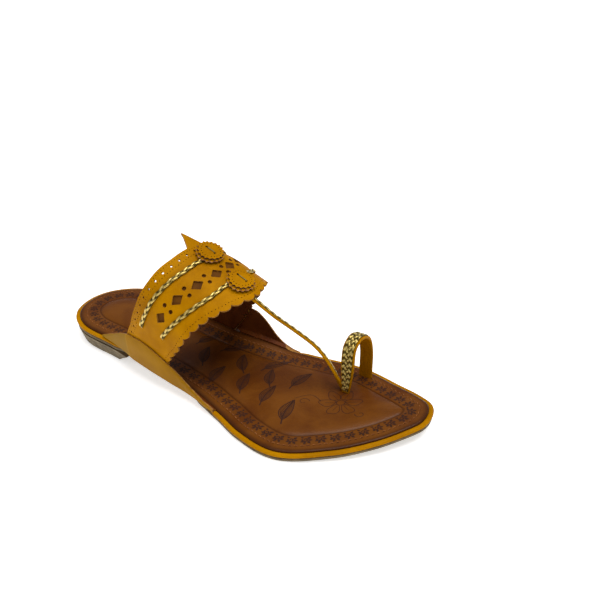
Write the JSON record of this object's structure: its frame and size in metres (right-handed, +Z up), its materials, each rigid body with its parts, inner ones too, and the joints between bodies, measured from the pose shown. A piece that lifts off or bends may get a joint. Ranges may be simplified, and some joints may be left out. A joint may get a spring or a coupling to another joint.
{
  "type": "toe-ring sandal",
  "caption": "Flat leather sandal for the right foot: openwork instep band with pointed tab, braided T-strap to a big-toe ring, padded brown footbed, low heel.",
  "frame": {"origin": "on the floor under the middle of the sandal's box", "axes": "+X towards the toe, +Y towards the big-toe side, +Z up from the floor"},
  "size_m": [0.2528, 0.0938, 0.0832],
  "materials": {
    "outsole": "matte moulded rubber, grey-brown",
    "footbed": "polished brown leather over a thin pad, with a stamped border",
    "piping": "satin mustard leather rolled over a cord",
    "upper_leather": "satin mustard leather, brown lining",
    "panel_leather": "satin dull mustard leather",
    "gold_braid": "metallic gold foil leather, plaited"
  },
  "bodies": {
    "root": {"outsole": "outsole", "heel_block": "outsole", "footbed": "footbed", "piping_toe": "piping", "piping_heel": "piping", "upper": "upper_leather", "rosette_rear_base": "upper_leather", "rosette_rear_top": "upper_leather", "rosette_front_base": "upper_leather", "rosette_front_top": "upper_leather", "side_panel_lateral": "panel_leather", "side_panel_medial": "panel_leather", "band_braid_rear": "gold_braid", "band_braid_front": "gold_braid", "strap_braid": "gold_braid", "ring_braid": "gold_braid"}
  },
  "joints": []
}
